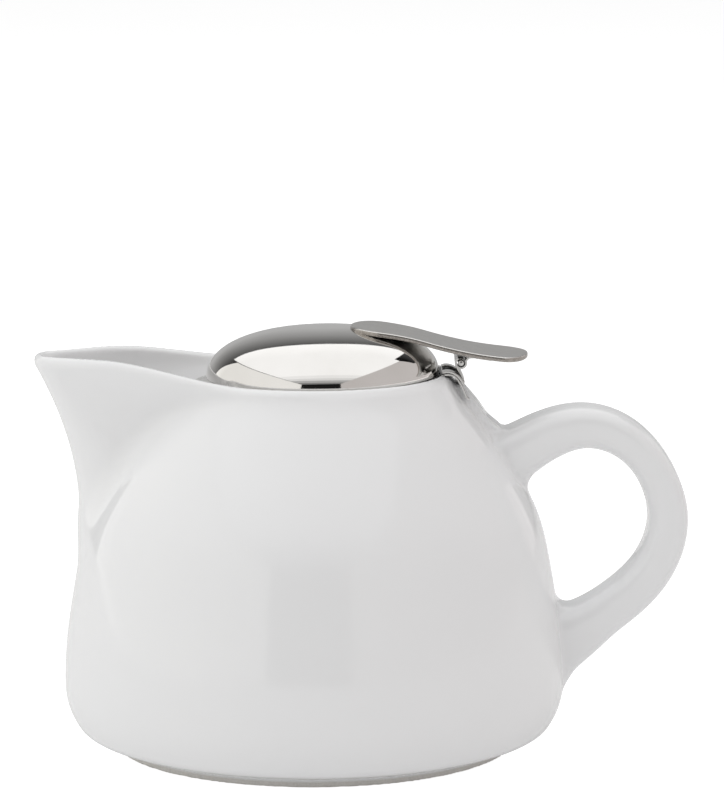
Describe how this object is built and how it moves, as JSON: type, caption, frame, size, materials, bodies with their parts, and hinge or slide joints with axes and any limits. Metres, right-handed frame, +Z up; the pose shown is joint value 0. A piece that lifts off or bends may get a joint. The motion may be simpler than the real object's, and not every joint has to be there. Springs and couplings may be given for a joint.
{
  "type": "infuser teapot",
  "caption": "Porcelain jug-style teapot with a loop handle, a stainless flip lid with a thumb lever on a rim clip, and a lift-out infuser basket",
  "frame": {"origin": "centre of the bounding box, on the surface the pot stands on; the body's turning axis is 11.3 mm from it towards the spout", "axes": "+Z up, spout towards -X, handle towards +X, Y across"},
  "size_m": [0.1498, 0.1152, 0.098],
  "materials": {
    "porcelain": "smooth glossy white glaze; the foot ring is unglazed",
    "polished_steel": "mirror-polished stainless steel",
    "satin_steel": "fine satin stainless steel with a polished edge",
    "sheet_steel": "bright pressed stainless sheet",
    "steel_mesh": "fine woven stainless mesh"
  },
  "bodies": {
    "pot": {"pot_body": "porcelain"},
    "lid_clip": {"clip_bracket": "sheet_steel", "clip_spring": "sheet_steel", "hinge_pin": "sheet_steel"},
    "lid": {"lid_dome": "polished_steel", "lid_inner_cap": "polished_steel", "lid_lever": "satin_steel", "lever_hinge_leaf": "sheet_steel"},
    "infuser": {"infuser_rim": "sheet_steel", "infuser_mesh_wall": "steel_mesh", "infuser_base_ring": "sheet_steel", "infuser_mesh_floor": "steel_mesh", "infuser_seam_strip": "sheet_steel"}
  },
  "joints": [
    {"name": "lid_lift_off", "type": "slide", "parent": "pot", "child": "lid_clip", "axis": [0, 0, 1], "range_m": [0, 0.16]},
    {"name": "lid_hinge", "type": "hinge", "parent": "lid_clip", "child": "lid", "pos_m": [0.02235, 0, 0.08975], "axis": [0, 1, 0], "range_deg": [0, 60]},
    {"name": "infuser_lift", "type": "slide", "parent": "pot", "child": "infuser", "axis": [0, 0, 1], "range_m": [0, 0.08]}
  ],
  "couplings": [
    {"joint": "infuser_lift", "follows": "lid_lift_off", "ratio": 0.5}
  ]
}
